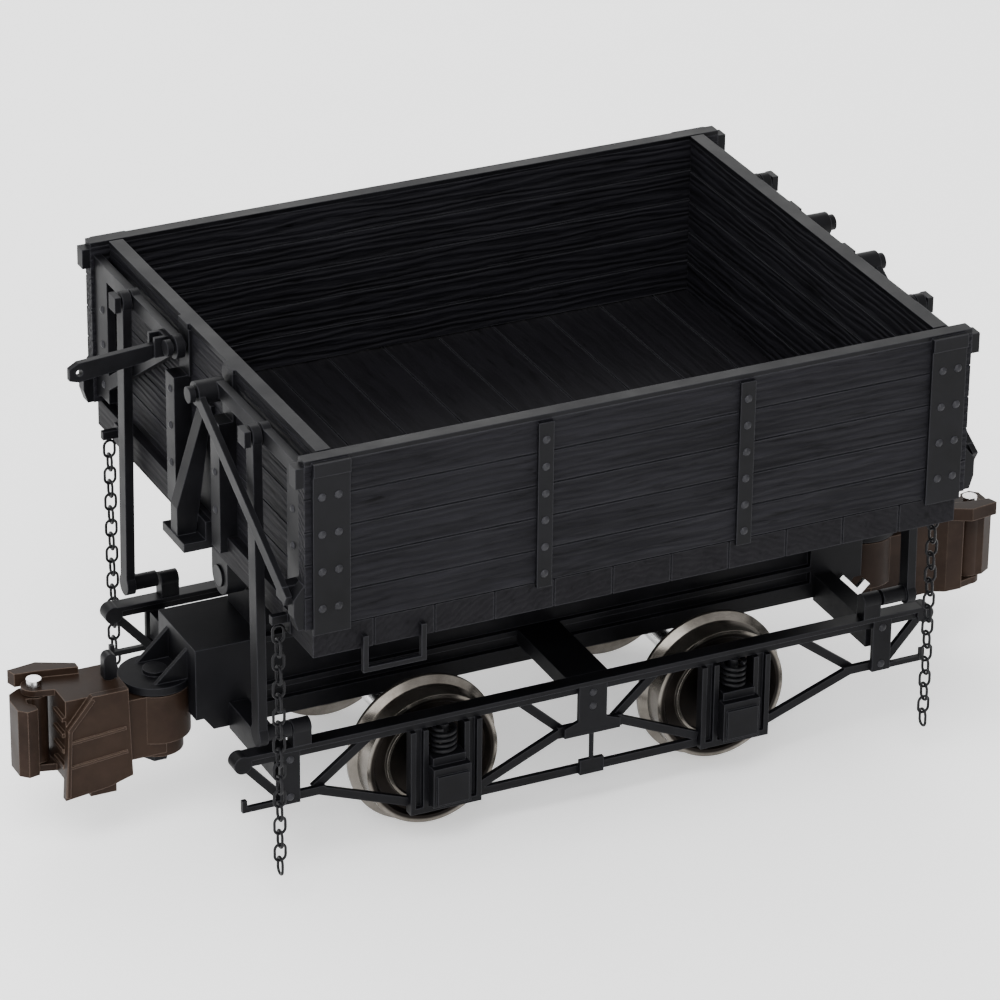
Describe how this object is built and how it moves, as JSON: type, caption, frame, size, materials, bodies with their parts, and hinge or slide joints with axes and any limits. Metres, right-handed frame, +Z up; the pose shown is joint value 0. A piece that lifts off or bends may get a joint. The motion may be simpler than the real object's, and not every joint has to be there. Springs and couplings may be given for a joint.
{
  "type": "model hopper car",
  "caption": "Model railway side-dump ore car: plank bin on a trunnion over a trussed underframe, hinged side doors on propped arms, sprung axle boxes, hanging chains and knuckle couplers.",
  "frame": {"origin": "middle of the car at rail level, under the wheel flanges", "axes": "+X along the track to the right end, +Y to the rear side, +Z up"},
  "size_m": [0.1988, 0.1022, 0.0925],
  "materials": {
    "body_paint": "satin charcoal paint",
    "stained_wood": "charcoal stained planks",
    "coupler_brown": "brown weathered casting",
    "nickel_wheel": "plated tread",
    "bright_steel": "bright",
    "black_iron": "black"
  },
  "bodies": {
    "frame": {"center_sill": "body_paint", "draft_pockets": "body_paint", "pivot_nuts": "body_paint", "draft_clips": "bright_steel", "cross_beams": "body_paint", "truss_top_chords": "body_paint", "truss_lower_straps": "body_paint", "truss_upper_straps": "body_paint", "truss_gussets": "body_paint", "tie_rods": "body_paint", "pedestals": "body_paint", "chain_hooks": "body_paint", "frame_rivets": "body_paint", "trunnion_stands": "body_paint", "prop_brackets": "body_paint", "spring_guides": "bright_steel", "springs_left": "black_iron", "springs_right": "black_iron"},
    "axle_box_set_left": {"axle_boxes_left": "body_paint"},
    "wheelset_left": {"wheels_left": "nickel_wheel", "axle_left": "bright_steel"},
    "coupler_body_left": {"coupler_left": "coupler_brown", "knuckle_pin_left": "bright_steel"},
    "knuckle_body_left": {"knuckle_left": "coupler_brown"},
    "lift_pin_body_left": {"lift_pin_left": "black_iron"},
    "axle_box_set_right": {"axle_boxes_right": "body_paint"},
    "wheelset_right": {"wheels_right": "nickel_wheel", "axle_right": "bright_steel"},
    "coupler_body_right": {"coupler_right": "coupler_brown", "knuckle_pin_right": "bright_steel"},
    "knuckle_body_right": {"knuckle_right": "coupler_brown"},
    "lift_pin_body_right": {"lift_pin_right": "black_iron"},
    "tipping_shaft": {"trunnion_shaft": "bright_steel"},
    "bin": {"floor_planks": "stained_wood", "tipping_hangers": "body_paint", "floor_bolsters": "stained_wood", "end_walls": "stained_wood", "end_wall_caps": "body_paint", "end_stakes": "body_paint", "end_brackets": "body_paint", "door_pivot_pins": "body_paint", "chain_anchors": "body_paint", "bin_rivets": "body_paint", "stirrup_steps": "body_paint"},
    "door_front": {"door_planks_front": "stained_wood", "door_ironwork_front": "body_paint", "door_arms_front": "body_paint", "door_rivets_front": "body_paint", "eye_bolts_front": "body_paint"},
    "props_body_front": {"props_front": "body_paint"},
    "chains_body_front": {"chains_front": "black_iron"},
    "door_rear": {"door_planks_rear": "stained_wood", "door_ironwork_rear": "body_paint", "door_arms_rear": "body_paint", "door_rivets_rear": "body_paint", "eye_bolts_rear": "body_paint", "lever_clevis": "body_paint"},
    "props_body_rear": {"props_rear": "body_paint"},
    "chains_body_rear": {"chains_rear": "black_iron"},
    "lever": {"dump_lever": "body_paint"}
  },
  "joints": [
    {"name": "tip_front", "type": "hinge", "parent": "frame", "child": "tipping_shaft", "pos_m": [0, 0, 0.046], "axis": [1, 0, 0], "range_deg": [0, 35]},
    {"name": "tip_rear", "type": "hinge", "parent": "tipping_shaft", "child": "bin", "pos_m": [0, 0, 0.046], "axis": [1, 0, 0], "range_deg": [-35, 0]},
    {"name": "door_front_swing", "type": "hinge", "parent": "bin", "child": "door_front", "pos_m": [0, -0.0095, 0.088], "axis": [1, 0, 0], "range_deg": [-59.51, 0]},
    {"name": "door_rear_swing", "type": "hinge", "parent": "bin", "child": "door_rear", "pos_m": [0, 0.0095, 0.088], "axis": [1, 0, 0], "range_deg": [0, 59.51]},
    {"name": "prop_front_swing", "type": "hinge", "parent": "door_front", "child": "props_body_front", "pos_m": [0, -0.0297, 0.0886], "axis": [1, 0, 0], "range_deg": [0, 46.91]},
    {"name": "prop_rear_swing", "type": "hinge", "parent": "door_rear", "child": "props_body_rear", "pos_m": [0, 0.0297, 0.0886], "axis": [1, 0, 0], "range_deg": [-46.91, 0]},
    {"name": "chain_front_swing", "type": "hinge", "parent": "bin", "child": "chains_body_front", "pos_m": [0, -0.0392, 0.0576], "axis": [1, 0, 0], "range_deg": [-86.01, 0]},
    {"name": "chain_rear_swing", "type": "hinge", "parent": "bin", "child": "chains_body_rear", "pos_m": [0, 0.0392, 0.0576], "axis": [1, 0, 0], "range_deg": [0, 86.01]},
    {"name": "axle_box_slide_left", "type": "slide", "parent": "frame", "child": "axle_box_set_left", "axis": [0, 0, 1], "range_m": [0, 0.0012], "stiffness_N_per_m": 1000, "springref_m": -0.003, "deforming": ["springs_left"]},
    {"name": "wheel_spin_left", "type": "hinge", "parent": "axle_box_set_left", "child": "wheelset_left", "pos_m": [-0.0292, 0, 0.01462], "axis": [0, 1, 0], "continuous": true},
    {"name": "coupler_swing_left", "type": "hinge", "parent": "frame", "child": "coupler_body_left", "pos_m": [-0.0723, 0, 0.018], "axis": [0, 0, 1], "range_deg": [-12, 12]},
    {"name": "knuckle_open_left", "type": "hinge", "parent": "coupler_body_left", "child": "knuckle_body_left", "pos_m": [-0.0943, 0.003, 0.02], "axis": [0, 0, 1], "range_deg": [-35, 0]},
    {"name": "lift_pin_slide_left", "type": "slide", "parent": "coupler_body_left", "child": "lift_pin_body_left", "axis": [0, 0, 1], "range_m": [0, 0.003]},
    {"name": "axle_box_slide_right", "type": "slide", "parent": "frame", "child": "axle_box_set_right", "axis": [0, 0, 1], "range_m": [0, 0.0012], "stiffness_N_per_m": 1000, "springref_m": -0.003, "deforming": ["springs_right"]},
    {"name": "wheel_spin_right", "type": "hinge", "parent": "axle_box_set_right", "child": "wheelset_right", "pos_m": [0.0292, 0, 0.01462], "axis": [0, 1, 0], "continuous": true},
    {"name": "coupler_swing_right", "type": "hinge", "parent": "frame", "child": "coupler_body_right", "pos_m": [0.0723, 0, 0.018], "axis": [0, 0, 1], "range_deg": [-12, 12]},
    {"name": "knuckle_open_right", "type": "hinge", "parent": "coupler_body_right", "child": "knuckle_body_right", "pos_m": [0.0943, -0.003, 0.02], "axis": [0, 0, 1], "range_deg": [-35, 0]},
    {"name": "lift_pin_slide_right", "type": "slide", "parent": "coupler_body_right", "child": "lift_pin_body_right", "axis": [0, 0, 1], "range_m": [0, 0.003]},
    {"name": "lever_swing", "type": "hinge", "parent": "door_rear", "child": "lever", "pos_m": [-0.0654, 0.01325, 0.0864], "axis": [0, 1, 0], "range_deg": [-5, 60]}
  ],
  "couplings": [
    {"joint": "door_front_swing", "follows": "tip_front", "ratio": -1.7},
    {"joint": "door_rear_swing", "follows": "tip_rear", "ratio": -1.7},
    {"joint": "prop_front_swing", "follows": "tip_front", "ratio": 1.34},
    {"joint": "prop_rear_swing", "follows": "tip_rear", "ratio": 1.34},
    {"joint": "chain_front_swing", "follows": "tip_front", "ratio": -2.457},
    {"joint": "chain_rear_swing", "follows": "tip_rear", "ratio": -2.457}
  ]
}
